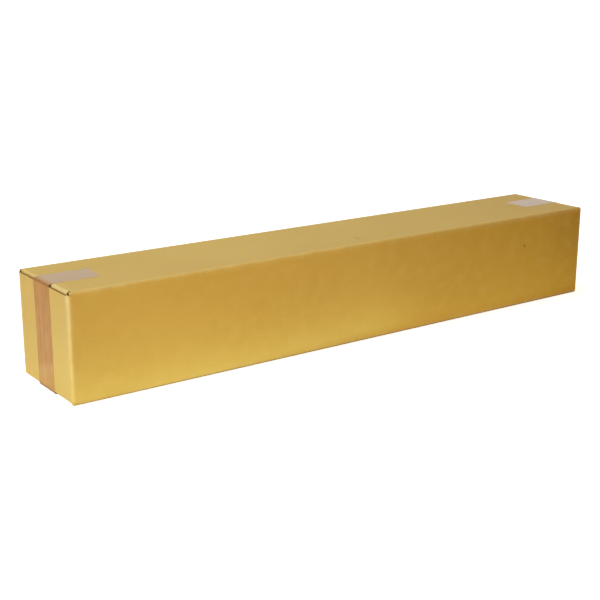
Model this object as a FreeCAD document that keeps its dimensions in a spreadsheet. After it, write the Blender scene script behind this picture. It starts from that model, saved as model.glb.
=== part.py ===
"""Long end-opening shipping carton of corrugated board, closed with a strip of packing tape at each end.

Millimetres, +Z up. X runs along the carton, -Y is its front. The origin is the middle of the footprint,
on the surface that the carton stands on.
"""

import FreeCAD, Part

import math
import os

import Sketcher

# The driving dimensions. Each becomes a cell of the sheet under the same name.
SIZES = {
    "box_length": 980.0,
    "box_width": 158.0,
    "box_height": 155.0,
    "board_thickness": 3.0,
    "fold_radius": 1.0,  # inside a crease
    "slot_relief": 0.2,  # from a rounded fold to the side of the slot beside it
    "slot_overrun": 0.5,  # how far a slot runs on past the inner flap's crease
    "corner_setback": 2.0,  # from the carton's ends to the tips of the long folds
    "layer_gap": 0.3,  # between an inner flap and the outer flap over it
    "seam_gap": 1.5,  # between the two outer flaps where they meet
    "seam_offset": 2.5,  # from mid-width to that seam, towards the back
    "inner_flap_gap": 3.0,  # between the tips of the two inner flaps
    "glue_tab_width": 35.0,
    "glue_tab_taper": 12.0,
    "tape_width": 50.0,
    "tape_thickness": 0.1,
    "tape_leg": 81.0,  # from the carton's end onto its top, and the same underneath
}

ORIGIN_POINT = (-1, 1)
START, END = 1, 2


class Length:
    """A number of millimetres with the sheet formula that gives it."""

    def __init__(self, number, formula):
        self.number = number
        self.formula = formula

    def __add__(self, other):
        return Length(self.number + other.number, f"{self.formula} + {other.formula}")

    def __sub__(self, other):
        return Length(self.number - other.number, f"{self.formula} - ({other.formula})")

    def __mul__(self, factor):
        return Length(self.number * factor, f"({self.formula}) * {factor}")

    def __truediv__(self, divisor):
        return Length(self.number / divisor, f"({self.formula}) / {divisor}")

    def __neg__(self):
        return self * -1


def size(name):
    return Length(SIZES[name], f"sizes.{name}")


def make_sheet(doc):
    sheet = doc.addObject("Spreadsheet::Sheet", "sizes")
    for row, (name, value) in enumerate(SIZES.items(), start=1):
        sheet.set(f"A{row}", name)
        sheet.set(f"B{row}", str(value))
        sheet.setAlias(f"B{row}", name)
    doc.recompute()
    return sheet


# Places that more than one outline uses, all worked out from the driving dimensions.

def places():
    board = size("board_thickness")
    outer_radius = board + size("fold_radius")
    end_face = -size("box_length") / 2
    back = size("box_width") / 2
    top = size("box_height")
    inner_face = end_face + board + size("layer_gap")
    seam = size("seam_offset")
    return {
        "board": board,
        "outer_radius": outer_radius,
        "inner_radius": size("fold_radius"),
        "end_face": end_face,
        "inner_face": inner_face,
        "slot_end": inner_face + outer_radius + size("slot_overrun"),
        "corner_end": end_face + size("corner_setback"),
        "front": -back,
        "back": back,
        "top": top,
        "floor": Length(0, "0"),
        "flap_inset": outer_radius + size("slot_relief"),
        "seam_front": seam - size("seam_gap") / 2,
        "seam_back": seam + size("seam_gap") / 2,
        "tip_low": top / 2 - size("inner_flap_gap") / 2,
        "tip_high": top / 2 + size("inner_flap_gap") / 2,
        "tab_top": size("glue_tab_width"),
    }


# Sketch helpers

def bind(sketch, kind, targets, length, name):
    """A dimension of a sketch, held to its sheet formula."""
    number = sketch.addConstraint(Sketcher.Constraint(kind, *targets, length.number))
    sketch.renameConstraint(number, name)
    sketch.setExpression(f"Constraints.{name}", length.formula)


def direction(start, end):
    step = (end[0] - start[0], end[1] - start[1])
    reach = math.hypot(*step)
    return step[0] / reach, step[1] / reach


def along(point, heading, distance):
    return point[0] + heading[0] * distance, point[1] + heading[1] * distance


def vector(point):
    return FreeCAD.Vector(point[0], point[1], 0)


def add_line(sketch, start, end):
    return sketch.addGeometry(Part.LineSegment(vector(start), vector(end)), False)


def add_corner_arc(sketch, corner, into, out_of, radius):
    """The arc that rounds a corner; returns it with its points on the first and the second line."""
    centre = along(along(corner, into, -radius), out_of, radius)
    first = along(corner, into, -radius)
    second = along(corner, out_of, radius)
    turns_left = into[0] * out_of[1] - into[1] * out_of[0] > 0
    if not turns_left:
        first, second = second, first
    start = math.atan2(first[1] - centre[1], first[0] - centre[0])
    end = math.atan2(second[1] - centre[1], second[0] - centre[0])
    circle = Part.Circle(vector(centre), FreeCAD.Vector(0, 0, 1), radius)
    arc = sketch.addGeometry(Part.ArcOfCircle(circle, start, end), False)
    return (arc, START, END) if turns_left else (arc, END, START)


def add_outline(sketch, runs, prefix):
    """A closed loop of level and upright lines.

    Each run is (axis, position, radius): "level" lines lie at a height of the sketch and "upright" ones
    at a distance, and radius rounds the corner to the next run, or is None where that corner is sharp.
    """
    count = len(runs)
    corners = []
    for index, (axis, position, _) in enumerate(runs):
        following = runs[(index + 1) % count][1]
        upright, level = (following, position) if axis == "level" else (position, following)
        corners.append((upright.number, level.number))

    headings = [direction(corners[index - 1], corners[index]) for index in range(count)]
    lines = []
    for index in range(count):
        before = runs[index - 1][2]
        after = runs[index][2]
        start = along(corners[index - 1], headings[index], before.number if before else 0)
        end = along(corners[index], headings[index], -after.number if after else 0)
        lines.append(add_line(sketch, start, end))

    for index, (axis, position, radius) in enumerate(runs):
        line = lines[index]
        following = lines[(index + 1) % count]
        name = f"{prefix}_{index + 1}"
        if axis == "level":
            sketch.addConstraint(Sketcher.Constraint("Horizontal", line))
            bind(sketch, "DistanceY", (*ORIGIN_POINT, line, START), position, name)
        else:
            sketch.addConstraint(Sketcher.Constraint("Vertical", line))
            bind(sketch, "DistanceX", (*ORIGIN_POINT, line, START), position, name)
        if radius is None:
            sketch.addConstraint(Sketcher.Constraint("Coincident", line, END, following, START))
            continue
        heading, next_heading = headings[index], headings[(index + 1) % count]
        arc, first, second = add_corner_arc(sketch, corners[index], heading, next_heading, radius.number)
        sketch.addConstraint(Sketcher.Constraint("Tangent", line, END, arc, first))
        sketch.addConstraint(Sketcher.Constraint("Tangent", following, START, arc, second))
        bind(sketch, "Radius", (arc,), radius, f"{name}_radius")


# PartDesign helpers

def origin_plane(body, role):
    return next(item for item in body.Origin.OriginFeatures if item.Role == role)


def attach_sketch(body, name, role, offset=None):
    sketch = body.newObject("Sketcher::SketchObject", name)
    sketch.AttachmentSupport = (origin_plane(body, role), [""])
    sketch.MapMode = "FlatFace"
    if offset:
        sketch.setExpression("AttachmentOffset.Base.z", offset.formula)
    return sketch


def pad(body, name, sketch, length):
    feature = body.newObject("PartDesign::Pad", name)
    feature.Profile = sketch
    feature.setExpression("Length", length.formula)
    sketch.Visibility = False
    return feature


def pocket(body, name, sketch, length, along_normal=False):
    feature = body.newObject("PartDesign::Pocket", name)
    feature.Profile = sketch
    feature.Reversed = along_normal
    feature.setExpression("Length", length.formula)
    sketch.Visibility = False
    return feature


# The carton

def tube(body, at):
    """Four panels and the glue tab, as long as the folds between them.

    The tab continues the bottom panel and is glued inside the back panel, whose raw lower edge shows.
    """
    board, outer, inner = at["board"], at["outer_radius"], at["inner_radius"]
    tab_face = at["back"] - board
    sketch = attach_sketch(body, "tube_section", "YZ_Plane", at["corner_end"])
    outside = [
        ("level", at["floor"], outer),
        ("upright", tab_face, None),
        ("level", at["flap_inset"], None),
        ("upright", at["back"], outer),
        ("level", at["top"], outer),
        ("upright", at["front"], outer),
    ]
    inside = [
        ("level", board, inner),
        ("upright", tab_face - board, None),
        ("level", at["tab_top"], None),
        ("upright", tab_face, inner),
        ("level", at["top"] - board, inner),
        ("upright", at["front"] + board, inner),
    ]
    add_outline(sketch, outside, "outside")
    add_outline(sketch, inside, "inside")
    return pad(body, "tube", sketch, at["corner_end"] * -2)


def cut_back_panels(body, at):
    """The panels stop level with the slots. Past that only the tips of the four long folds stand."""
    outer, clear = at["outer_radius"], at["board"]
    near, far = at["front"] + outer, at["back"] - outer
    low, high = outer, at["top"] - outer
    sketch = attach_sketch(body, "panel_ends_outline", "YZ_Plane", at["slot_end"])
    everything_but_the_folds = [
        ("level", at["floor"] - clear, None),
        ("upright", far - at["board"], None),
        ("level", low, None),
        ("upright", at["back"] + clear, None),
        ("level", high, None),
        ("upright", far, None),
        ("level", at["top"] + clear, None),
        ("upright", near, None),
        ("level", high, None),
        ("upright", at["front"] - clear, None),
        ("level", low, None),
        ("upright", near, None),
    ]
    add_outline(sketch, everything_but_the_folds, "edge")
    return pocket(body, "panel_ends", sketch, at["slot_end"] - at["corner_end"])


def taper_glue_tab(body, at):
    """One slanted end of the glue tab."""
    face = at["back"] - at["board"]
    low, high = at["outer_radius"], at["tab_top"]
    end, tip = at["slot_end"], at["slot_end"] + size("glue_tab_taper")
    sketch = attach_sketch(body, "glue_tab_taper_outline", "XZ_Plane", -face)
    upright = add_line(sketch, (end.number, low.number), (end.number, high.number))
    level = add_line(sketch, (end.number, high.number), (tip.number, high.number))
    slant = add_line(sketch, (tip.number, high.number), (end.number, low.number))
    for first, second in ((upright, level), (level, slant), (slant, upright)):
        sketch.addConstraint(Sketcher.Constraint("Coincident", first, END, second, START))
    sketch.addConstraint(Sketcher.Constraint("Vertical", upright))
    sketch.addConstraint(Sketcher.Constraint("Horizontal", level))
    bind(sketch, "DistanceX", (*ORIGIN_POINT, upright, START), end, "end")
    bind(sketch, "DistanceY", (*ORIGIN_POINT, upright, START), low, "low")
    bind(sketch, "DistanceX", (*ORIGIN_POINT, level, END), tip, "tip")
    bind(sketch, "DistanceY", (*ORIGIN_POINT, level, END), high, "high")
    return pocket(body, "glue_tab_taper", sketch, at["board"], along_normal=True)


def outer_flap(body, at, name, panel, into_carton, seam):
    """An outer flap: it carries on from the front or back panel, round its crease and across the end."""
    board = at["board"]
    sketch = attach_sketch(body, f"{name}_outline", "XY_Plane", at["flap_inset"])
    runs = [
        ("level", panel, at["outer_radius"]),
        ("upright", at["end_face"], None),
        ("level", seam, None),
        ("upright", at["end_face"] + board, at["inner_radius"]),
        ("level", panel + board * into_carton, None),
        ("upright", at["slot_end"], None),
    ]
    add_outline(sketch, runs, "flap")
    return pad(body, name, sketch, at["top"] - at["flap_inset"] * 2)


def inner_flap(body, at, name, panel, into_carton, tip, back_edge):
    """An inner flap: it folds down behind the outer flaps from the top panel, or up from the bottom one."""
    board = at["board"]
    sketch = attach_sketch(body, f"{name}_outline", "XZ_Plane", -back_edge)
    runs = [
        ("level", panel, at["outer_radius"]),
        ("upright", at["inner_face"], None),
        ("level", tip, None),
        ("upright", at["inner_face"] + board, at["inner_radius"]),
        ("level", panel + board * into_carton, None),
        ("upright", at["slot_end"], None),
    ]
    add_outline(sketch, runs, "flap")
    front_edge = at["front"] + at["flap_inset"]
    return pad(body, name, sketch, back_edge - front_edge)


def carton(doc, at):
    """The folded and glued blank, closed at both ends."""
    body = doc.addObject("PartDesign::Body", "carton")
    body.Label = "carton"
    tube(body, at)
    top_flap_back = at["back"] - at["flap_inset"]
    bottom_flap_back = top_flap_back - at["board"]
    left_end = [
        cut_back_panels(body, at),
        taper_glue_tab(body, at),
        outer_flap(body, at, "front_flap", at["front"], 1, at["seam_front"]),
        outer_flap(body, at, "back_flap", at["back"], -1, at["seam_back"]),
        inner_flap(body, at, "top_flap", at["top"], -1, at["tip_high"], top_flap_back),
        inner_flap(body, at, "bottom_flap", at["floor"], 1, at["tip_low"], bottom_flap_back),
    ]
    doc.recompute()
    right_end = body.newObject("PartDesign::Mirrored", "right_end")
    right_end.Originals = left_end
    right_end.MirrorPlane = (origin_plane(body, "YZ_Plane"), [""])
    body.Tip = right_end
    body.setExpression("Placement.Base.z", "sizes.tape_thickness")
    return body


# The tape

def bridge_points(at):
    """The top end of the tape's bridge from the inner flap's rounded fold down to the outer flap's edge.

    Returns the fold's centre, the angle round it at which the tape takes off, and the two ends of the bridge.
    """
    radius = at["outer_radius"].number
    centre = ((at["inner_face"] + at["outer_radius"]).number, (at["top"] - at["outer_radius"]).number)
    landing = (at["end_face"].number, (at["top"] - at["flap_inset"]).number)
    run, rise = centre[0] - landing[0], centre[1] - landing[1]
    angle = math.pi / 2 + math.asin(radius / math.hypot(run, rise)) + math.atan2(rise, run)
    takeoff = along(centre, (math.cos(angle), math.sin(angle)), radius)
    return centre, angle, takeoff, landing


def upside_down(point, height):
    """The matching point of the carton's lower half."""
    return point[0], height.number - point[1]


def tape_path(doc, at):
    """The line on the carton that the tape's sticky side follows, from the top leg's tip to the bottom's."""
    sketch = doc.addObject("Sketcher::SketchObject", "tape_path")
    centre, angle, takeoff, landing = bridge_points(at)
    radius, height = at["outer_radius"], at["top"]
    fold_start = at["inner_face"] + radius
    tip = at["end_face"] + size("tape_leg")
    low_centre = upside_down(centre, height)
    low_takeoff = upside_down(takeoff, height)
    low_landing = upside_down(landing, height)

    top_leg = add_line(sketch, (tip.number, height.number), (fold_start.number, height.number))
    circle = Part.Circle(vector(centre), FreeCAD.Vector(0, 0, 1), radius.number)
    top_fold = sketch.addGeometry(Part.ArcOfCircle(circle, math.pi / 2, angle), False)
    top_bridge = add_line(sketch, takeoff, landing)
    face = add_line(sketch, landing, low_landing)
    bottom_bridge = add_line(sketch, low_landing, low_takeoff)
    circle = Part.Circle(vector(low_centre), FreeCAD.Vector(0, 0, 1), radius.number)
    bottom_fold = sketch.addGeometry(Part.ArcOfCircle(circle, -angle, -math.pi / 2), False)
    bottom_leg = add_line(sketch, (fold_start.number, 0), (tip.number, 0))

    for line in (top_leg, bottom_leg):
        sketch.addConstraint(Sketcher.Constraint("Horizontal", line))
    sketch.addConstraint(Sketcher.Constraint("Vertical", face))
    sketch.addConstraint(Sketcher.Constraint("Tangent", top_leg, END, top_fold, START))
    sketch.addConstraint(Sketcher.Constraint("Tangent", top_fold, END, top_bridge, START))
    sketch.addConstraint(Sketcher.Constraint("Coincident", top_bridge, END, face, START))
    sketch.addConstraint(Sketcher.Constraint("Coincident", face, END, bottom_bridge, START))
    sketch.addConstraint(Sketcher.Constraint("Tangent", bottom_bridge, END, bottom_fold, START))
    sketch.addConstraint(Sketcher.Constraint("Tangent", bottom_fold, END, bottom_leg, START))
    bind(sketch, "Radius", (top_fold,), radius, "top_radius")
    bind(sketch, "Radius", (bottom_fold,), radius, "bottom_radius")
    bind(sketch, "DistanceX", (*ORIGIN_POINT, top_leg, START), tip, "top_tip")
    bind(sketch, "DistanceX", (*ORIGIN_POINT, bottom_leg, END), tip, "bottom_tip")
    bind(sketch, "DistanceX", (*ORIGIN_POINT, top_leg, END), fold_start, "top_fold_start")
    bind(sketch, "DistanceX", (*ORIGIN_POINT, bottom_leg, START), fold_start, "bottom_fold_start")
    bind(sketch, "DistanceY", (*ORIGIN_POINT, top_leg, START), height, "height")
    bind(sketch, "DistanceY", (*ORIGIN_POINT, bottom_leg, START), at["floor"], "underside")
    bind(sketch, "DistanceX", (*ORIGIN_POINT, face, START), at["end_face"], "face")
    bind(sketch, "DistanceY", (*ORIGIN_POINT, face, START), height - at["flap_inset"], "upper_edge")
    bind(sketch, "DistanceY", (*ORIGIN_POINT, face, END), at["flap_inset"], "lower_edge")

    upright = FreeCAD.Rotation(FreeCAD.Vector(1, 0, 0), 90)
    sketch.Placement = FreeCAD.Placement(FreeCAD.Vector(0, 0, 0), upright)
    front_edge = size("seam_offset") - size("tape_width") / 2
    sketch.setExpression("Placement.Base.y", front_edge.formula)
    sketch.setExpression("Placement.Base.z", "sizes.tape_thickness")
    sketch.Visibility = False
    return sketch


def left_end_tape(doc, at):
    """A strip over the seam of the left end, centred on it, with a leg on the top and one underneath."""
    section = doc.addObject("Part::Offset2D", "tape_section")
    section.Source = tape_path(doc, at)
    section.Mode = "Skin"
    section.Join = "Arc"
    section.Fill = True
    section.setExpression("Value", "-sizes.tape_thickness")
    strip = doc.addObject("Part::Extrusion", "left_end_tape")
    strip.Label = "left_end_tape"
    strip.Base = section
    strip.DirMode = "Custom"
    strip.Dir = FreeCAD.Vector(0, 1, 0)
    strip.Solid = True
    strip.setExpression("LengthFwd", "sizes.tape_width")
    return strip


def right_end_tape(doc, left_tape):
    """The same strip at the right end."""
    strip = doc.addObject("Part::Mirroring", "right_end_tape")
    strip.Label = "right_end_tape"
    strip.Source = left_tape
    strip.Base = FreeCAD.Vector(0, 0, 0)
    strip.Normal = FreeCAD.Vector(1, 0, 0)
    return strip


def check(doc, parts):
    for item in doc.Objects:
        if "Invalid" in item.State or "Error" in item.State:
            raise RuntimeError(f"{item.Name} failed: {item.State}")
    for part in parts:
        if part.Shape.isNull() or not part.Shape.isValid():
            raise RuntimeError(f"{part.Label} has no valid shape")
        if len(part.Shape.Solids) != 1:
            raise RuntimeError(f"{part.Label} has {len(part.Shape.Solids)} solids, not one")


def main():
    doc = FreeCAD.newDocument("long_shipping_box")
    make_sheet(doc)
    at = places()
    left_tape = left_end_tape(doc, at)
    parts = [carton(doc, at), left_tape, right_end_tape(doc, left_tape)]
    doc.recompute()
    check(doc, parts)
    os.makedirs("parts", exist_ok=True)
    for part in parts:
        part.Shape.exportStep(f"parts/{part.Label}.step")


main()
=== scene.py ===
"""Looks of the long shipping box: the folded board, the tape, their finishes, and a plain studio.

Metres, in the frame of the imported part: X runs along the carton, -Y is its front, Z is up.
The carton is made as the real one is: a flat blank with slots, and a rule that folds every point of it.
"""

import math

import bpy
from mathutils import Matrix, Vector, noise


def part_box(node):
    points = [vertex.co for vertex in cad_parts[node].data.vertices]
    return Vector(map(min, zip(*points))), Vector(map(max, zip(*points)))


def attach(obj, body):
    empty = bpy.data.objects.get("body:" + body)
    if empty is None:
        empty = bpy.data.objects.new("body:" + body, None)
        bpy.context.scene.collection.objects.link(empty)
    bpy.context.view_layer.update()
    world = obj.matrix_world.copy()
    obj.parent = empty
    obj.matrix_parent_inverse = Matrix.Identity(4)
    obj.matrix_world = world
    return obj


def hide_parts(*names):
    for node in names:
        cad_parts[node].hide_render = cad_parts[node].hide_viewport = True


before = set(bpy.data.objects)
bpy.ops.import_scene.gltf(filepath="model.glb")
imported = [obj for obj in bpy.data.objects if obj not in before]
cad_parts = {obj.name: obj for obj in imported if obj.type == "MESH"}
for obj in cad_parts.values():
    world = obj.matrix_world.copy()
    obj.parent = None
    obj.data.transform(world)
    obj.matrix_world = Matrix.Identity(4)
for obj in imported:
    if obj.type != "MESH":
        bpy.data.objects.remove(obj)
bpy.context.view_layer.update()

MM = 0.001
QUARTER = math.pi / 2
MICRON = 0.001 * MM  # places in the blank closer than this are one vertex
ROUNDING = 1e-9  # lengths closer than this are the same

# The carton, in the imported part's own sizes
LOW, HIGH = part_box("carton")
HALF_LENGTH = HIGH.x
LENGTH = 2 * HALF_LENGTH
HALF_WIDTH = HIGH.y
UNDERSIDE, TOPSIDE = LOW.z, HIGH.z
HALF_HEIGHT = (TOPSIDE - UNDERSIDE) / 2
BOARD = 3 * MM
FOLD = 4 * MM  # outside radius of every crease
CREASE = FOLD * QUARTER  # what a crease takes up of the sheet's outer face
SLOT_RELIEF = 0.2 * MM
SLOT_DEPTH = 7.8 * MM  # from the end face to where the slots stop
TUBE_REACH = HALF_LENGTH - SLOT_DEPTH
LAYER_GAP = 0.3 * MM  # between an inner flap and the outer flap over it
SEAM_GAP = 1.5 * MM
SEAM_OFFSET = 2.5 * MM
INNER_FLAP_GAP = 3 * MM
GLUE_TAB_WIDTH = 35 * MM
GLUE_TAB_TAPER = 12 * MM
GLUE_LINE = 0.05 * MM

LINER = 0.25 * MM  # paper on each face of the board
GROOVE_DEPTH = 2.2 * MM  # how far one looks into the board along a cut that follows the flutes
FLUTE_PITCH = 6.4 * MM

# How deep each flap reaches, from its panel's outer face to its tip
FLAP_DEPTH = {
    "front": HALF_WIDTH + SEAM_OFFSET - SEAM_GAP / 2,
    "back": HALF_WIDTH - SEAM_OFFSET - SEAM_GAP / 2,
    "top": HALF_HEIGHT - INNER_FLAP_GAP / 2,
    "bottom": HALF_HEIGHT - INNER_FLAP_GAP / 2,
}

# How far the long creases keep on between the flaps
UPPER_TIP = HALF_LENGTH - 2 * MM
WORN_TIP = HALF_LENGTH - 3.3 * MM  # the upper front one has worn back
ROUND_TIP = HALF_LENGTH - 0.2 * MM  # the lower front one is crushed round
HIDDEN_TIP = HALF_LENGTH - 5 * MM  # the lower back one stops behind its flap
TIP_ROUNDING = 3 * MM  # the stretch before a tip that rounds off
TIP_DROOP = 0.3 * MM

# The worn upper front corner. Shares run up the front, from its lower crease to its upper one.
NOTCH = 4.6 * MM  # the hole between the long crease's tip and the top flap
EAR = 1.4 * MM  # how far the front flap's crease stands up beside that hole
EAR_FROM = 0.96  # the share of the front where it starts to
EAR_LAG = 0.3  # how late in the crease's turn it does

# The top flaps' creases behind the tape, which are sharper. Shares run back over the top.
SHARPER_FROM = 0.68
SHARPER_WITHIN = 0.08
SHARPER_BY = 0.4

# How far the faces depart from flat, as used board does
SAG = {"front": 0.25 * MM, "top": 0.5 * MM, "back": 0.4 * MM, "bottom": 0.3 * MM}
END_SAG = 0.3 * MM
WAVE = 0.5 * MM
WAVES_ALONG = 9  # in a metre
WAVES_AROUND = 1.3  # on a panel

# How much the creases are lightened, partly by wear and partly by a painted highlight, and for the flaps'
# creases at the start and end of their panel's way round
LONG_CREASE_WEAR_AND_HIGHLIGHT = 0.5
CREASE_WEAR_AND_HIGHLIGHT = {"front": (0.1, 1), "top": (1, 0.3), "back": (0.5, 0.5), "bottom": (0.5, 0.5)}
WEAR_AND_HIGHLIGHT_REACH = 4 * MM

# The tape
TAPE_LOW, TAPE_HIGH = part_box("left_end_tape")
TAPE_TIP = TAPE_HIGH.x  # the left strip's ends, on the top and underneath
TAPE_FRONT, TAPE_BACK = TAPE_LOW.y, TAPE_HIGH.y
TAPE_BED = 0.01 * MM
TAPE_FACE = 0.1 * MM
TAPE_BEND = 2.4 * MM  # radius of its turn onto the end
TAPE_DROOP = 0.8 * MM  # how far it has come down where that turn starts
TAPE_DIP = 0.12 * MM  # how far it sinks into the seam
TAPE_DIP_WIDTH = 0.9 * MM
TAPE_TEETH = 0.5 * MM  # left by the dispenser's blade
TAPE_LENGTH = 2 * (TAPE_TIP + HALF_LENGTH) + TOPSIDE - UNDERSIDE

# How much the two ends of each side's strip, above and underneath, fall short towards the front. They are
# torn off at a slant.
TAPE_SLANT = {-1: (0.1, 0.04), 1: (0, 0.03)}
TAPE_SLANT_REACH = 40 * MM

# How loose the tape is where it has just left the board, and where nothing is behind it
LEAVING, LOOSE = 0.2, 1

# How finely the meshes are divided
TUBE_STEP = 10 * MM
PANEL_STEP = 6 * MM
FLAP_STEP = 8 * MM
TIP_STEP = 0.6 * MM
TAPE_STEP = 5 * MM
FINE_STEP = 1 * MM
TURN_STEP = 0.2  # radians of the tape's bend
LONG_CREASE_FACETS = 6
FLAP_CREASE_FACETS = 10


def clamp(value, high=1):
    """value, kept between 0 and high."""
    return min(max(value, 0), high)


def spread(start, end, step):
    """Evenly spaced numbers from start to end, about step apart."""
    count = max(1, round(abs(end - start) / step))
    return [start + (end - start) * index / count for index in range(count + 1)]


def joined(*stretches):
    """Stretches laid end to end, with the number that two of them share written once."""
    numbers = list(stretches[0])
    for stretch in stretches[1:]:
        numbers += list(stretch)[1:]
    return numbers


def hump(fraction):
    """0 at both ends of a span, 1 in its middle."""
    return math.sin(math.pi * clamp(fraction))


def panel_give(name, x, fraction):
    """How far a long panel has sunk from its plane. The length of its name gives it waves of its own."""
    nearness = hump((x + HALF_LENGTH) / LENGTH)
    waves = 0.5 + 0.5 * noise.noise(Vector((x * WAVES_ALONG, fraction * WAVES_AROUND, len(name))))
    return (SAG[name] + WAVE * waves) * math.sqrt(nearness) * hump(fraction)


def end_give(y, z):
    """How far an end has sunk from its plane."""
    across = (y + HALF_WIDTH) / (2 * HALF_WIDTH)
    up = (z - UNDERSIDE) / (TOPSIDE - UNDERSIDE)
    return END_SAG * hump(across) * hump(up)


# The blank, folded

def upright_run(name, y, z_start, z_end, normal):
    """A panel that stands at y. normal is 1 or -1, the way its outer face looks along Y."""
    heading = 1 if z_end > z_start else -1
    return {"name": name, "length": abs(z_end - z_start), "start": (y, z_start),
            "heading": (0, heading), "normal": (normal, 0)}


def level_run(name, z, y_start, y_end, normal):
    """A panel that lies at z. normal is 1 or -1, the way its outer face looks along Z."""
    heading = 1 if y_end > y_start else -1
    return {"name": name, "length": abs(y_end - y_start), "start": (y_start, z),
            "heading": (heading, 0), "normal": (0, normal)}


def fold_run(y, z, from_angle):
    """A long crease: a quarter turn clockwise round (y, z), seen from the right end."""
    return {"name": "fold", "length": CREASE, "centre": (y, z), "from": from_angle}


def girth_runs():
    """The line of the outer face round the carton, from the glue tab's tip to the back panel's raw edge."""
    tab_face = HALF_WIDTH - BOARD - GLUE_LINE
    low_centre, high_centre = UNDERSIDE + FOLD, TOPSIDE - FOLD
    front_centre, back_centre = -HALF_WIDTH + FOLD, HALF_WIDTH - FOLD
    raw_edge = UNDERSIDE + FOLD + SLOT_RELIEF
    runs = [
        upright_run("glue_tab", tab_face, UNDERSIDE + GLUE_TAB_WIDTH, low_centre, 1),
        fold_run(tab_face - FOLD, low_centre, 0),
        level_run("bottom", UNDERSIDE, tab_face - FOLD, front_centre, -1),
        fold_run(front_centre, low_centre, -QUARTER),
        upright_run("front", -HALF_WIDTH, low_centre, high_centre, -1),
        fold_run(front_centre, high_centre, -2 * QUARTER),
        level_run("top", TOPSIDE, front_centre, back_centre, 1),
        fold_run(back_centre, high_centre, -3 * QUARTER),
        upright_run("back", HALF_WIDTH, high_centre, raw_edge, 1),
    ]
    begins = 0
    for run in runs:
        run["begins"] = begins
        begins += run["length"]
        run["ends"] = begins
    return runs


RUNS = girth_runs()


def panel_run(name):
    return next(run for run in RUNS if run["name"] == name)


def girth_point(s):
    """The run that s lies on, the share of it behind s, and there the outer face's (y, z) and normal."""
    run = next((run for run in RUNS if s <= run["ends"]), RUNS[-1])
    behind = s - run["begins"]
    share = behind / run["length"]
    if run["name"] == "fold":
        angle = run["from"] - behind / FOLD
        normal = (math.cos(angle), math.sin(angle))
        return run, share, [c + FOLD * n for c, n in zip(run["centre"], normal)], normal
    return run, share, [p + h * behind for p, h in zip(run["start"], run["heading"])], run["normal"]


def crease_start(name):
    """Where along X a flap's crease begins. The top and bottom flaps fold in behind the other two."""
    recess = BOARD + LAYER_GAP if name in ("top", "bottom") else 0
    return HALF_LENGTH - recess - FOLD


def flap_tip(name):
    """Where along the flat sheet a flap ends."""
    return crease_start(name) + CREASE + FLAP_DEPTH[name] - FOLD


def crease_radius(name, share):
    """How round a flap's crease is."""
    if name != "top":
        return FOLD
    return FOLD * (1 - SHARPER_BY * clamp((share - SHARPER_FROM) / SHARPER_WITHIN))


def round_the_crease(past, radius):
    """Where a point past a crease's start comes to: how far it goes outward and inward, and its turn."""
    lead = FOLD - radius
    travel = past / CREASE * (radius * QUARTER + 2 * lead)
    angle = clamp((travel - lead) / radius, QUARTER)
    outward = min(travel, lead) + radius * math.sin(angle)
    inward = radius * (1 - math.cos(angle)) + max(0, travel - lead - radius * QUARTER)
    return outward, inward, angle


def crease_tip(run):
    """How far along X a long crease goes."""
    at_front = run["centre"][0] < 0
    if run["centre"][1] > HALF_HEIGHT:
        return WORN_TIP if at_front else UPPER_TIP
    return ROUND_TIP if at_front else HIDDEN_TIP


def tip_droop(u, run):
    """How far a long crease has rounded off at its tip."""
    tip = crease_tip(run)
    if tip == ROUND_TIP:
        past = max(abs(u) - HALF_LENGTH + FOLD, 0)
        return FOLD - math.sqrt(FOLD ** 2 - past ** 2)
    into_tip = clamp(1 - (tip - abs(u)) / TIP_ROUNDING)
    return TIP_DROOP * (1 - math.sqrt(1 - into_tip ** 2))


def on_flap(u, name, share, place, normal, depth):
    """Where a point past the slots' depth lies, on a panel's last strip, its flap's crease or its flap."""
    y, z = place
    past = abs(u) - crease_start(name)
    outward, inward, angle = round_the_crease(clamp(past, CREASE), crease_radius(name, share))
    inward += max(0, past - CREASE)
    x = crease_start(name) + outward + min(past, 0)
    if name == "top":
        y += NOTCH * (1 - share)
    elif name == "front":
        rising = hump((1 + EAR_LAG) * angle / QUARTER - EAR_LAG)
        z += EAR * rising * max(0, share - EAR_FROM) / (1 - EAR_FROM)
    y -= (inward + depth * math.cos(angle)) * normal[0]
    z -= (inward + depth * math.cos(angle)) * normal[1]
    x -= (depth + end_give(y, z)) * math.sin(angle)
    return Vector((math.copysign(x, u), y, z))


def folded(u, s, depth):
    """Where a point of the flat blank lies: u along the flutes, s across them, depth into the board."""
    run, share, (y, z), normal = girth_point(s)
    name = run["name"]
    if name in FLAP_DEPTH and abs(u) > TUBE_REACH + ROUNDING:
        return on_flap(u, name, share, (y, z), normal, depth)
    if name == "glue_tab":
        u *= 1 - (1 - share) * GLUE_TAB_TAPER / TUBE_REACH
    elif name == "fold":
        depth = min(depth + tip_droop(u, run), FOLD)
    else:
        depth += panel_give(name, u, share)
    return Vector((u, y - depth * normal[0], z - depth * normal[1]))


def crease_wear_and_highlight(u, s):
    """How much wear and a painted highlight lighten a crease: up to 1 on it, fading to 0 a few millimetres
    beside it.
    """
    run, share = girth_point(s)[:2]
    distance, wear_and_highlight = WEAR_AND_HIGHLIGHT_REACH, LONG_CREASE_WEAR_AND_HIGHLIGHT
    for other in RUNS:
        if other["name"] == "fold" and (run["name"] == "fold" or abs(u) <= TUBE_REACH + MM):
            middle = other["begins"] + CREASE / 2
            distance = min(distance, max(0, abs(s - middle) - FOLD / 2))
    if run["name"] in FLAP_DEPTH:
        middle = crease_start(run["name"]) + CREASE / 2
        from_flap = max(0, abs(abs(u) - middle) - FOLD / 2)
        if from_flap < distance:
            at_start, at_end = CREASE_WEAR_AND_HIGHLIGHT[run["name"]]
            distance, wear_and_highlight = from_flap, at_start + (at_end - at_start) * share
    return wear_and_highlight * (1 - distance / WEAR_AND_HIGHLIGHT_REACH) ** 2


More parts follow.
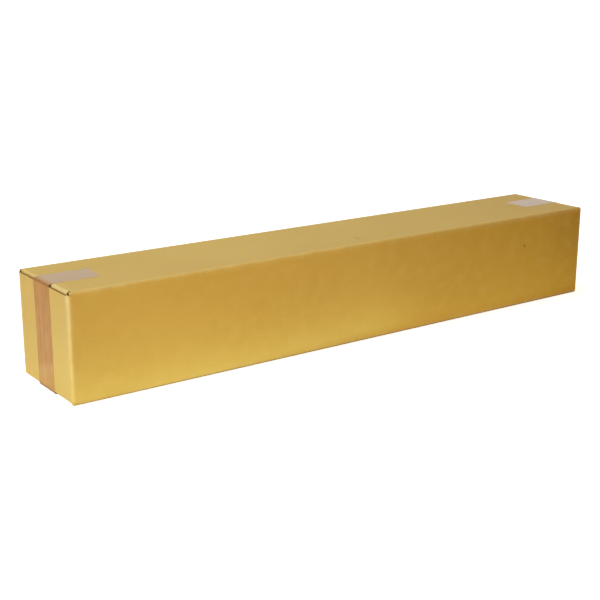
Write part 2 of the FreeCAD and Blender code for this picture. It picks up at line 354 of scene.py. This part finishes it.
def shade_smooth(mesh, smooth_faces):
    """Round shading on the first faces, flat on the rest, and a sharp edge wherever a flat face ends."""
    flat_edges = set()
    for number, polygon in enumerate(mesh.polygons):
        polygon.use_smooth = number < smooth_faces
        if number >= smooth_faces:
            flat_edges.update(polygon.edge_keys)
    for edge in mesh.edges:
        edge.use_edge_sharp = edge.key in flat_edges


def add_attribute(mesh, name, kind, values):
    """Numbers for the material to read, one set for each vertex."""
    key = "vector" if kind == "FLOAT_VECTOR" else "value"
    mesh.attributes.new(name, kind, "POINT").data.foreach_set(key, values)


class Blank:
    """The mesh of the blank, as vertices named by their place in the flat sheet."""

    def __init__(self):
        self.index = {}
        self.places = []
        self.quads = []
        self.cut_faces = []
        self.crushed_faces = []

    def vertex(self, u, s, depth):
        key = tuple(round(value / MICRON) for value in (u, s, depth))
        if key not in self.index:
            self.index[key] = len(self.places)
            self.places.append((u, s, depth))
        return self.index[key]

    def add_grid(self, us, ss):
        for u0, u1 in zip(us, us[1:]):
            for s0, s1 in zip(ss, ss[1:]):
                self.quads.append(((u0, s0), (u1, s0), (u1, s1), (u0, s1)))

    def outline(self):
        """The sheet's boundary, as directed edges with the board on their left."""
        directed = {}
        for quad in self.quads:
            for start, end in zip(quad, quad[1:] + quad[:1]):
                names = self.vertex(*start, 0), self.vertex(*end, 0)
                directed[names] = (start, end)
        return [edge for (a, b), edge in directed.items() if (b, a) not in directed]

    def close(self):
        """The walls between the two faces. They are sunk where one looks into the open flutes.

        Those are the cuts that follow the flutes and the upper tips of the long creases. At a corner of
        the blank nothing is sunk. Corners of a wall that coincide leave a triangle.
        """
        edges = self.outline()
        along = {point for start, end in edges if start[1] == end[1] for point in (start, end)}
        across = {point for start, end in edges if start[0] == end[0] for point in (start, end)}
        for start, end in edges:
            follows_flutes = start[1] == end[1]
            at_tip = None if follows_flutes else abs(start[0])
            sunk = (0, 0)
            if follows_flutes:
                sunk = (0, math.copysign(GROOVE_DEPTH, end[0] - start[0]))
            elif at_tip in (UPPER_TIP, WORN_TIP):
                sunk = (-math.copysign(GROOVE_DEPTH, start[0]), 0)
            walls = self.crushed_faces if at_tip == ROUND_TIP else self.cut_faces
            rows = []
            for u, s in (end, start):
                inset = (0, 0) if (u, s) in along and (u, s) in across else sunk
                rim = [self.vertex(u, s, depth) for depth in (0, LINER, BOARD - LINER, BOARD)]
                floor = [self.vertex(u + inset[0], s + inset[1], depth) for depth in (LINER, BOARD - LINER)]
                rows.append([*rim[:2], *floor, *rim[2:]])
            ahead, behind = rows
            for level in range(len(ahead) - 1):
                wall = (ahead[level], behind[level], behind[level + 1], ahead[level + 1])
                corners = list(dict.fromkeys(wall))
                if len(corners) > 2:
                    walls.append(corners)

    def mesh(self, name):
        faces = []
        for quad in self.quads:
            faces.append([self.vertex(u, s, 0) for u, s in quad])
            faces.append([self.vertex(u, s, BOARD) for u, s in reversed(quad)])
        self.close()
        faces += self.crushed_faces
        mesh = bpy.data.meshes.new(name)
        mesh.from_pydata([folded(*place) for place in self.places], [], faces + self.cut_faces)
        shade_smooth(mesh, len(faces))
        for polygon in mesh.polygons[len(faces):]:
            polygon.material_index = 1
        add_attribute(mesh, "blank", "FLOAT_VECTOR", [value for place in self.places for value in place])
        add_attribute(mesh, "crease", "FLOAT", [crease_wear_and_highlight(u, s) for u, s, _ in self.places])
        return mesh


def at_end(rows, side):
    """The rows of the right end, or their mirror image at the left end, always from left to right."""
    return [side * row for row in rows][::side]


def carton_blank():
    """The whole sheet: the tube between the slots, and past it the flaps and the long creases' tips."""
    blank = Blank()
    columns = []
    for run in RUNS:
        name, start, end = run["name"], run["begins"], run["ends"]
        if name == "glue_tab":
            columns.append(spread(start, end, FLAP_STEP))
            continue
        if name == "fold":
            slices = spread(start, end, CREASE / LONG_CREASE_FACETS)
            columns.append(slices)
            rows = spread(TUBE_REACH, crease_tip(run), TIP_STEP)
        else:
            last = end if name == "back" else end - SLOT_RELIEF
            slices = spread(start + SLOT_RELIEF, last, PANEL_STEP)
            columns.append([start, *slices] if name == "back" else [start, *slices, end])
            crease = crease_start(name)
            rows = joined(
                [TUBE_REACH, crease],
                spread(crease, crease + CREASE, CREASE / FLAP_CREASE_FACETS),
                spread(crease + CREASE, flap_tip(name), FLAP_STEP),
            )
        for side in (-1, 1):
            blank.add_grid(at_end(rows, side), slices)
    blank.add_grid(spread(-TUBE_REACH, TUBE_REACH, TUBE_STEP), joined(*columns))
    return blank


# The tape

def tape_track():
    """The line of the left strip's outer face, as (distance, x, z, normal, loose) from its top end on.

    The strip lies on the top, runs on past the start of the inner flap's crease with a slight droop, turns
    down in front of the step there and follows the outer flaps. Underneath it does the same. It is loose,
    up to 1, where no board backs it.
    """
    crease = -crease_start("top")
    bend_x, bend_z = -HALF_LENGTH + TAPE_BEND, TOPSIDE - TAPE_DROOP - TAPE_BEND
    landing = TOPSIDE - FOLD - SLOT_RELIEF
    half_way = (TOPSIDE + UNDERSIDE) / 2
    steps = [(x, TOPSIDE, QUARTER, 0) for x in spread(TAPE_TIP, crease, TAPE_STEP)]
    for x in spread(crease, bend_x, FINE_STEP)[1:]:
        fallen = (crease - x) / (crease - bend_x)
        slope = math.atan(2 * fallen * TAPE_DROOP / (crease - bend_x))
        steps.append((x, TOPSIDE - TAPE_DROOP * fallen ** 2, QUARTER + slope, LEAVING))
    for angle in spread(QUARTER + slope, math.pi, TURN_STEP)[1:]:
        x = bend_x + TAPE_BEND * math.cos(angle)
        steps.append((x, bend_z + TAPE_BEND * math.sin(angle), angle, LOOSE))
    for z in spread(bend_z, landing, FINE_STEP)[1:]:
        steps.append((-HALF_LENGTH, z, math.pi, LOOSE))
    for z in spread(landing - FINE_STEP, half_way, TAPE_STEP):
        steps.append((-HALF_LENGTH, z, math.pi, 0))
    steps += [(x, 2 * half_way - z, -angle, loose) for x, z, angle, loose in reversed(steps[:-1])]
    track, distance, last = [], 0, steps[0][:2]
    for x, z, angle, loose in steps:
        distance += math.dist(last, (x, z))
        last = (x, z)
        track.append((distance, x, z, Vector((math.cos(angle), 0, math.sin(angle))), loose))
    return track


def strip_faces(length, width, side):
    """The faces of a strip of vertices in pairs, outer and inner, and how many of them are its rim."""

    def corner(row, column, under):
        return (row * width + column) * 2 + under

    faces = []
    for row in range(length - 1):
        for column in range(width - 1):
            for under in (0, 1):
                faces.append([corner(row, column, under), corner(row + 1, column, under),
                              corner(row + 1, column + 1, under), corner(row, column + 1, under)])
                if under:
                    faces[-1].reverse()
    rim = [(row, 0) for row in range(length)]
    rim += [(length - 1, column) for column in range(1, width)]
    rim += [(row, width - 1) for row in reversed(range(length - 1))]
    rim += [(0, column) for column in reversed(range(1, width - 1))]
    for start, end in zip(rim, rim[1:] + rim[:1]):
        faces.append([corner(*end, 0), corner(*start, 0), corner(*start, 1), corner(*end, 1)])
    if side < 0:
        faces = [face[::-1] for face in faces]
    return faces, len(rim)


def tape_mesh(name, side):
    """One strip. side is -1 at the left end and 1 at the right one."""
    track = tape_track()
    across = spread(TAPE_FRONT, TAPE_BACK, FINE_STEP)
    middle = (TAPE_FRONT + TAPE_BACK) / 2
    blend = 3 * FOLD  # the stretch over which the end's sag gives way to the panel's
    places, film, slack = [], [], []
    for row, (distance, x, z, normal, loose) in enumerate(track):
        underneath = row >= len(track) // 2
        near_tip = clamp(1 - (TAPE_TIP - x) / TAPE_SLANT_REACH)
        on_panel = clamp((x + HALF_LENGTH) / blend)
        for column, y in enumerate(across):
            short = near_tip * TAPE_SLANT[side][underneath] * (TAPE_BACK - y)
            if row in (0, len(track) - 1):
                short += (column % 2) * TAPE_TEETH
            share = (y + HALF_WIDTH) / (2 * HALF_WIDTH)
            sunk = panel_give("bottom" if underneath else "top", x, share) * on_panel
            sunk += end_give(y, z) * (1 - on_panel)
            sunk += TAPE_DIP * math.exp(-(((y - SEAM_OFFSET) / TAPE_DIP_WIDTH) ** 2)) * (1 - on_panel)
            for lift in (TAPE_FACE, TAPE_BED):
                point = Vector((x - short, y, z)) + normal * (lift - sunk)
                places.append((point.x * -side, point.y, point.z))
                film += [distance, y - middle, lift]
                slack.append(loose)
    faces, rim = strip_faces(len(track), len(across), side)
    mesh = bpy.data.meshes.new(name)
    mesh.from_pydata(places, [], faces)
    shade_smooth(mesh, len(faces) - rim)
    add_attribute(mesh, "film", "FLOAT_VECTOR", film)
    add_attribute(mesh, "loose", "FLOAT", slack)
    return mesh


# Materials

class Nodes:
    """A material's nodes, made one by one and linked as they are made."""

    def __init__(self, name):
        self.material = bpy.data.materials.new(name)
        self.material.use_nodes = True
        self.tree = self.material.node_tree
        self.shader = self.tree.nodes["Principled BSDF"]

    def set(self, node, socket, value):
        if isinstance(value, bpy.types.NodeSocket):
            self.tree.links.new(value, node.inputs[socket])
        else:
            node.inputs[socket].default_value = value

    def fill(self, node, sockets):
        """Sets sockets by name or number: From_Min is the one named From Min, and _6 is number 6."""
        for socket, value in sockets.items():
            self.set(node, int(socket[1:]) if socket[1:].isdigit() else socket.replace("_", " "), value)

    def add(self, kind, settings=(), **sockets):
        node = self.tree.nodes.new(kind)
        for key, value in dict(settings).items():
            setattr(node, key, value)
        self.fill(node, sockets)
        return node

    def shade(self, **sockets):
        """Sets the shader's own sockets, and gives the material."""
        self.fill(self.shader, sockets)
        return self.material

    def attribute(self, name, output="Vector"):
        return self.add("ShaderNodeAttribute", {"attribute_name": name}).outputs[output]

    def axes(self, vector):
        return self.add("ShaderNodeSeparateXYZ", Vector=vector).outputs

    def scaled(self, vector, scale):
        return self.add("ShaderNodeVectorMath", {"operation": "MULTIPLY"}, _0=vector, _1=scale).outputs[0]

    def distance(self, vector, point):
        node = self.add("ShaderNodeVectorMath", {"operation": "DISTANCE"}, _0=vector, _1=point)
        return node.outputs["Value"]

    def noise(self, vector, scale, detail, roughness=0.5):
        return self.add("ShaderNodeTexNoise", Vector=vector, Scale=scale, Detail=detail,
                        Roughness=roughness).outputs["Fac"]

    def math(self, operation, first, second=0.0):
        return self.add("ShaderNodeMath", {"operation": operation}, _0=first, _1=second).outputs[0]

    def times(self, first, second):
        return self.math("MULTIPLY", first, second)

    def away_from(self, value, middle):
        return self.math("ABSOLUTE", self.math("SUBTRACT", value, middle))

    def between(self, value, low, high, at_low=0.0, at_high=1.0):
        """A smooth step, from at_low where value is low or less to at_high where it is high or more."""
        return self.add("ShaderNodeMapRange", {"interpolation_type": "SMOOTHSTEP"}, Value=value, From_Min=low,
                        From_Max=high, To_Min=at_low, To_Max=at_high).outputs["Result"]

    def mix(self, factor, first, second):
        """Colours, mixed. On this node, sockets 6 and 7 and output 2 are the ones for colours."""
        return self.add("ShaderNodeMix", {"data_type": "RGBA"}, _0=factor, _6=first, _7=second).outputs[2]

    def bump(self, height, distance, normal=None):
        sockets = {"Normal": normal} if normal else {}
        return self.add("ShaderNodeBump", Height=height, Distance=distance, **sockets).outputs["Normal"]


KRAFT = (0.635, 0.39, 0.0925, 1)
KRAFT_LIGHT = (0.675, 0.425, 0.112, 1)
KRAFT_DARK = (0.61, 0.365, 0.081, 1)
# KRAFT_SPOT_AND_SHADE darkens the real flecks and marks, and also paints shade into the front's upper right
# corner
KRAFT_SPOT_AND_SHADE = (0.25, 0.12, 0.02, 1)
# a crease's paler tone: partly real wear, partly a painted highlight
KRAFT_CREASE_WEAR_AND_HIGHLIGHT = (0.77, 0.56, 0.22, 1)
# painted shade for the foot of the front, where the crease turns under toward the floor
KRAFT_FOOT_SHADE = (0.30, 0.22, 0.10, 1)
# painted shade: the deeper, more saturated tone of the front's dimmer right end
KRAFT_DEEP_SHADE = (0.60, 0.36, 0.036, 1)
FLUTE_SHADE = (0.20, 0.065, 0.008, 1)
FILM = (0.48, 0.18, 0.018, 1)
FILM_LIGHT = (0.55, 0.23, 0.03, 1)
FILM_DARK = (0.39, 0.135, 0.012, 1)
# painted shade of the hollow seen through the film where it is loose and bridges the gap
FILM_LOOSE_SHADE = (0.43, 0.165, 0.022, 1)
FILM_GAP_SHADE = (0.27, 0.10, 0.012, 1)
# a tone painted on the film's top leg, standing in for how the light falls there
FILM_TOP_LIGHT_TONE = (0.38, 0.22, 0.035, 1)

# Small marks of handling: the panel, how far right of its middle as a share of the length, the share of
# the way round the panel, the radius and the strength
MARKS = [
    ("front", 0.357, 0.68, 4.0 * MM, 0.6),
    ("top", 0.0125, 0.185, 7.0 * MM, 0.24),
    ("top", 0.0170, 0.230, 6.5 * MM, 0.24),
    ("top", 0.0165, 0.290, 8.0 * MM, 0.14),
    ("front", -0.353, 0.86, 2.5 * MM, 0.08),
    ("front", -0.333, 0.85, 2.5 * MM, 0.12),
]
MARK_CORE = 0.3  # the share of a mark's radius that has its full strength

FRONT_RIM = 4 * MM  # the strip of the front beside its creases that keeps the plain kraft
SHADE_DEEPENS_FROM = -0.1  # where along the carton the painted shade that deepens the front's kraft starts
SHADED_CORNER = (HALF_LENGTH, 0.95)  # where the painted shade at the front's upper right corner is darkest: place along the carton, and share of the front
CORNER_SHADE_REACH = (20 * MM, 110 * MM)  # from there, where that painted shade starts to fade and where it ends
FOOT_SHADE_BAND = (-15 * MM, -7 * MM)  # below the front's lower rim, where the painted shade underneath sets in
FOOT_SHADE_FROM = -0.2  # from here to the right it has its full strength

TAPE_EDGE = 3 * MM  # the darker strip along each edge of the tape, on the end
TAPE_SEAM = (0.6 * MM, 2 * MM)  # from the tape's middle, where the shade of the seam fades and ends
TAPE_HIGHLIGHT = 6 * MM  # beside the middle, where a painted highlight along the seam makes the tape lighter
TAPE_HIGHLIGHT_REACH = (1.5 * MM, 5 * MM)
TAPE_CHANGES = 8 * MM  # past the end, within which the film takes its painted top tone, which stands in for how the light falls there


def blank_place(name, x, share):
    """The flat blank's coordinates of a place on a panel, by its share of the way round that panel."""
    run = panel_run(name)
    return (x, run["begins"] + run["length"] * share, 0)


def front_painted_shade(nodes, blank, along, around):
    """Painted shade on the front: how much deeper its kraft is toward its right end, and how much darker at
    its upper right corner.
    """
    low_rim, high_rim = panel_run("front")["begins"], panel_run("front")["ends"]
    above = nodes.between(around, low_rim, low_rim + FRONT_RIM)
    below = nodes.between(around, high_rim - FRONT_RIM, high_rim, 1.0, 0.0)
    on_front = nodes.times(above, below)
    rightward = nodes.between(along, SHADE_DEEPENS_FROM, HALF_LENGTH, 0.0, 0.9)
    from_corner = nodes.distance(blank, blank_place("front", *SHADED_CORNER))
    corner_shade = nodes.between(from_corner, *CORNER_SHADE_REACH, 0.2, 0.0)
    return nodes.times(on_front, rightward), nodes.times(on_front, corner_shade)


def painted_foot_shade(nodes, along, around):
    """How much painted shade darkens the lower front crease and the board just under it, which face the
    floor.
    """
    rim = panel_run("front")["begins"]
    shade_at_foot = nodes.between(around, rim - 0.6 * CREASE, rim, 0.75, 0.0)
    shade_at_foot = nodes.times(shade_at_foot, nodes.between(around, rim + FOOT_SHADE_BAND[0], rim + FOOT_SHADE_BAND[1]))
    return nodes.times(shade_at_foot, nodes.between(along, -HALF_LENGTH, FOOT_SHADE_FROM, 0.3, 1.0))


def kraft():
    """The liner paper, with its clouds, fibres and flecks, its marks of handling, creases paled by wear and a
    painted highlight, and painted shade on the front.
    """
    nodes = Nodes("kraft_liner")
    blank = nodes.attribute("blank")
    along, around, _ = nodes.axes(blank)
    broad = nodes.noise(blank, scale=6, detail=3)
    cloudy = nodes.noise(blank, scale=45, detail=4, roughness=0.6)
    fibres = nodes.noise(nodes.scaled(blank, (0.35, 1, 1)), scale=1400, detail=4, roughness=0.65)
    flecks = nodes.noise(nodes.scaled(blank, (0.3, 1, 1)), scale=500, detail=1)
    shade_deepening, corner_shade = front_painted_shade(nodes, blank, along, around)
    colour = nodes.mix(nodes.between(broad, 0.35, 0.65), KRAFT_DARK, KRAFT)
    # painted shade: the front's kraft deepens toward its right end
    colour = nodes.mix(shade_deepening, colour, KRAFT_DEEP_SHADE)
    # painted shade at the front's upper right corner
    colour = nodes.mix(corner_shade, colour, KRAFT_SPOT_AND_SHADE)
    colour = nodes.mix(nodes.between(cloudy, 0.4, 0.75, 0.0, 0.5), colour, KRAFT_LIGHT)
    colour = nodes.mix(nodes.between(fibres, 0.3, 0.7, 0.0, 0.22), colour, KRAFT_LIGHT)
    colour = nodes.mix(nodes.between(flecks, 0.72, 0.8, 0.0, 0.35), colour, KRAFT_SPOT_AND_SHADE)
    # creases paled partly by wear and partly by a painted highlight
    worn_and_highlit = nodes.times(nodes.attribute("crease", "Fac"), nodes.between(cloudy, 0.3, 0.7, 0.5, 1.0))
    colour = nodes.mix(worn_and_highlit, colour, KRAFT_CREASE_WEAR_AND_HIGHLIGHT)
    for name, x_share, share, radius, strength in MARKS:
        away = nodes.distance(blank, blank_place(name, x_share * LENGTH, share))
        marked = nodes.between(away, radius * MARK_CORE, radius, strength, 0.0)
        colour = nodes.mix(marked, colour, KRAFT_SPOT_AND_SHADE)
    # painted shade along the front's foot
    colour = nodes.mix(painted_foot_shade(nodes, along, around), colour, KRAFT_FOOT_SHADE)
    flutes = nodes.math("SINE", nodes.times(around, 2 * math.pi / FLUTE_PITCH))
    normal = nodes.bump(flutes, 0.02 * MM)
    normal = nodes.bump(cloudy, 0.08 * MM, normal)
    normal = nodes.bump(fibres, 0.03 * MM, normal)
    roughness = nodes.between(cloudy, 0.3, 0.7, 0.5, 0.6)
    return nodes.shade(Base_Color=colour, Roughness=roughness, Specular_IOR_Level=0.15, Normal=normal)


def cut_board():
    """The board's cut edges: the ends of the liners, and the shade of the open flute between them."""
    nodes = Nodes("cut_board")
    blank = nodes.attribute("blank")
    depth = nodes.axes(blank)["Z"]
    from_core = nodes.away_from(depth, BOARD / 2)
    inside = nodes.between(from_core, BOARD / 2 - 1.3 * LINER, BOARD / 2 - 0.7 * LINER, 1.0, 0.0)
    fibres = nodes.noise(blank, scale=900, detail=3, roughness=0.6)
    liner = nodes.mix(nodes.between(fibres, 0.3, 0.7), KRAFT_DARK, KRAFT_LIGHT)
    colour = nodes.mix(inside, liner, FLUTE_SHADE)
    normal = nodes.bump(fibres, 0.08 * MM)
    return nodes.shade(Base_Color=colour, Roughness=0.8, Specular_IOR_Level=0.05, Normal=normal)


def packing_tape():
    """Brown film, streaked along its length and darker at its edges, with painted shade over the seam and
    where it is loose over the hollow, a painted highlight beside the seam, and a painted tone on the top.
    """
    nodes = Nodes("packing_tape")
    film = nodes.attribute("film")
    along, offset, _ = nodes.axes(film)
    loose = nodes.attribute("loose", "Fac")
    streaks = nodes.noise(nodes.scaled(film, (0.06, 1, 1)), scale=260, detail=2)
    broad = nodes.noise(nodes.scaled(film, (0.5, 1, 1)), scale=60, detail=2)
    from_middle = nodes.math("ABSOLUTE", offset)
    from_half_way = nodes.away_from(along, TAPE_LENGTH / 2)
    on_end = nodes.between(from_half_way, HALF_HEIGHT, HALF_HEIGHT + TAPE_CHANGES, 1.0, 0.0)
    from_highlight = nodes.distance(nodes.scaled(film, (0, 1, 0)), (0, TAPE_HIGHLIGHT, 0))
    rim = (TAPE_BACK - TAPE_FRONT) / 2
    edge = nodes.times(nodes.between(from_middle, rim - TAPE_EDGE, rim, 0.0, 0.5), on_end)
    colour = nodes.mix(nodes.between(streaks, 0.3, 0.7), FILM, FILM_LIGHT)
    colour = nodes.mix(nodes.between(broad, 0.35, 0.65, 0.0, 0.4), colour, FILM_DARK)
    # painted highlight beside the seam
    colour = nodes.mix(nodes.between(from_highlight, *TAPE_HIGHLIGHT_REACH, 0.6, 0.0), colour, FILM_LIGHT)
    colour = nodes.mix(nodes.between(from_middle, *TAPE_SEAM, 0.5, 0.0), colour, FILM_DARK)
    colour = nodes.mix(edge, colour, FILM_DARK)
    # painted tone on the top, standing in for how the light falls there
    colour = nodes.mix(nodes.between(on_end, 0.0, 1.0, 0.6, 0.0), colour, FILM_TOP_LIGHT_TONE)
    # painted shade where the film bridges the hollow behind it
    colour = nodes.mix(nodes.between(loose, 0.0, 0.4), colour, FILM_LOOSE_SHADE)
    colour = nodes.mix(nodes.between(loose, 0.75, 1.0, 0.0, 0.6), colour, FILM_GAP_SHADE)
    gloss = nodes.between(broad, 0.3, 0.7, 0.11, 0.17)
    roughness = nodes.math("MAXIMUM", gloss, nodes.times(loose, 0.5))
    normal = nodes.bump(broad, 0.06 * MM, nodes.bump(streaks, 0.03 * MM))
    return nodes.shade(Base_Color=colour, Roughness=roughness, Specular_IOR_Level=0.38, Normal=normal)


# Pieces

def place_piece(mesh, name, materials):
    """A piece that rides on the carton's one body, with the materials given."""
    piece = bpy.data.objects.new(name, mesh)
    bpy.context.scene.collection.objects.link(piece)
    for material in materials:
        mesh.materials.append(material)
    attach(piece, "root")
    return piece


def make_box():
    board = carton_blank().mesh("folded_board")
    carton = place_piece(board, "folded_board", [kraft(), cut_board()])
    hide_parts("carton")
    tape = packing_tape()
    for side, node in ((-1, "left_end_tape"), (1, "right_end_tape")):
        name = node.replace("_end_tape", "_tape_strip")
        strip = place_piece(tape_mesh(name, side), name, [tape])
        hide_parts(node)


# Studio

WHITE = (1, 1, 1, 1)
FILL_COLOUR = (1.0, 0.61, 0.26, 1)
FILL = 0.385

FLOOR_REACH = 30  # half of its side
FLOOR_GREY = (0.86, 0.86, 0.86, 1)
GLOW_RANGE = (0.6, 1.4)  # from the middle of the floor, where its glow starts to grow and is full
GLOW_NEAR, GLOW_FAR = 0.76, 1.0

CARD_GAP = 4 * MM  # between the carton and a card beside it
CARD_HEIGHT = 0.4 * MM


def seen_by(tree, *kinds):
    """1 for rays of these kinds, which see the backdrop itself."""
    path = tree.nodes.new("ShaderNodeLightPath")
    total = path.outputs[kinds[0]]
    for kind in kinds[1:]:
        larger = tree.nodes.new("ShaderNodeMath")
        larger.operation = "MAXIMUM"
        tree.links.new(total, larger.inputs[0])
        tree.links.new(path.outputs[kind], larger.inputs[1])
        total = larger.outputs[0]
    return total


def make_world():
    """A white backdrop, and a dimmer warm fill that lights the carton."""
    world = bpy.data.worlds.new("studio")
    bpy.context.scene.world = world
    world.use_nodes = True
    tree = world.node_tree
    backdrop = tree.nodes["Background"]
    backdrop.inputs["Color"].default_value = WHITE
    fill = tree.nodes.new("ShaderNodeBackground")
    fill.inputs["Color"].default_value = FILL_COLOUR
    fill.inputs["Strength"].default_value = FILL
    mix = tree.nodes.new("ShaderNodeMixShader")
    tree.links.new(seen_by(tree, "Is Camera Ray", "Is Glossy Ray"), mix.inputs[0])
    tree.links.new(fill.outputs[0], mix.inputs[1])
    tree.links.new(backdrop.outputs[0], mix.inputs[2])
    tree.links.new(mix.outputs[0], tree.nodes["World Output"].inputs["Surface"])


def make_floor():
    """A white floor. Its own glow lifts it to the backdrop's white and leaves the carton's shadow on it."""
    mesh = bpy.data.meshes.new("floor")
    signs = ((-1, -1), (1, -1), (1, 1), (-1, 1))
    mesh.from_pydata([(x * FLOOR_REACH, y * FLOOR_REACH, 0) for x, y in signs], [], [(0, 1, 2, 3)])
    floor = bpy.data.objects.new("floor", mesh)
    bpy.context.scene.collection.objects.link(floor)
    nodes = Nodes("white_floor")
    mesh.materials.append(nodes.shade(Base_Color=FLOOR_GREY, Roughness=0.9, Specular_IOR_Level=0.0))
    place = nodes.add("ShaderNodeTexCoord").outputs["Object"]
    lift = nodes.between(nodes.distance(place, (0, 0, 0)), *GLOW_RANGE, GLOW_NEAR, GLOW_FAR)
    strength = nodes.times(seen_by(nodes.tree, "Is Camera Ray"), lift)
    glow = nodes.add("ShaderNodeEmission", Color=WHITE, Strength=strength)
    both = nodes.add("ShaderNodeAddShader", _0=nodes.shader.outputs[0], _1=glow.outputs[0])
    nodes.tree.links.new(both.outputs[0], nodes.tree.nodes["Material Output"].inputs["Surface"])


def aimed(location, target, roll=0.0):
    """A placement at location that looks along its own -Z at target."""
    forward = (Vector(target) - Vector(location)).normalized()
    turn = forward.to_track_quat("-Z", "Y").to_matrix().to_4x4()
    return Matrix.Translation(location) @ turn @ Matrix.Rotation(roll, 4, "Z")


def add_lamp(name, location, target, size, power, colour, beam=180, shape="RECTANGLE"):
    """A flat lamp of the given width and height, whose light keeps within beam degrees."""
    light = bpy.data.lights.new(name, "AREA")
    light.shape = shape
    light.size, light.size_y = size
    light.energy = power
    light.color = colour
    light.spread = math.radians(beam)
    holder = bpy.data.objects.new(name, light)
    bpy.context.scene.collection.objects.link(holder)
    holder.visible_camera = False
    holder.matrix_world = aimed(location, target)


def add_card(name, x_range, y_range, power, colour, shape="RECTANGLE"):
    """A card lying on the table, which throws light up at the foot of the carton."""
    middle = Vector((sum(x_range) / 2, sum(y_range) / 2, CARD_HEIGHT))
    size = (x_range[1] - x_range[0], y_range[1] - y_range[0])
    add_lamp(name, middle, middle + Vector((0, 0, 1)), size, power, colour, shape=shape)


def make_lights():
    foot = Vector((-0.35, 0, 0.05))
    from_front = Vector((-0.55, -2.4, 1.05))
    add_lamp("key", foot + from_front, foot, size=(0.8, 0.8), power=1.18, colour=(1, 0.93, 0.3), beam=40)
    end = Vector((-HALF_LENGTH, 0, 0.08))
    from_left = Vector((-1.7, -0.3, 0.62))
    add_lamp("left", end + from_left, end, size=(0.7, 0.7), power=4.0, colour=(0.5, 0.67, 1), beam=60)
    above, middle = (-0.1, 0.4, 1.6), (-0.1, 0.1, 0.08)
    add_lamp("overhead", above, middle, size=(1.2, 0.8), power=13.0, colour=(0.5, 0.885, 1))
    near = -HALF_WIDTH - CARD_GAP
    beyond = -HALF_LENGTH - CARD_GAP
    add_card("front_card", (-0.5, 0.5), (near - 0.18, near), 0.13, (1, 0.88, 0.29))
    add_card("corner_card", (-0.75, 0.1), (near - 0.05, near), 0.125, (0.45, 0.95, 1), "ELLIPSE")
    add_card("foot_card", (-0.05, 0.52), (near - 0.07, near), 0.038, (0.65, 1, 0.9), "ELLIPSE")
    add_card("end_card", (-HALF_LENGTH - 0.16, beyond), (-0.1, 0.1), 0.045, (0.7, 1, 0.45))


CAMERA_AT = Vector((-1.0818, -1.3994, 0.5522))
CAMERA_AZIMUTH = math.radians(-36.011)
CAMERA_ELEVATION = math.radians(15.942)
CAMERA_ROLL = math.radians(0.193)
CAMERA_LENS = 69.1
CAMERA_SENSOR = 36
CAMERA_SEES_TO = 100


def make_camera():
    camera = bpy.data.cameras.new("camera")
    camera.lens = CAMERA_LENS
    camera.sensor_width = CAMERA_SENSOR
    camera.clip_end = CAMERA_SEES_TO
    holder = bpy.data.objects.new("camera", camera)
    bpy.context.scene.collection.objects.link(holder)
    level = math.cos(CAMERA_ELEVATION)
    across, away = math.sin(CAMERA_AZIMUTH), -math.cos(CAMERA_AZIMUTH)
    back = Vector((across * level, away * level, math.sin(CAMERA_ELEVATION)))
    holder.matrix_world = aimed(CAMERA_AT, CAMERA_AT - back, CAMERA_ROLL)
    bpy.context.scene.camera = holder


make_box()
make_world()
make_floor()
make_lights()
make_camera()
bpy.context.scene.view_settings.view_transform = "Standard"
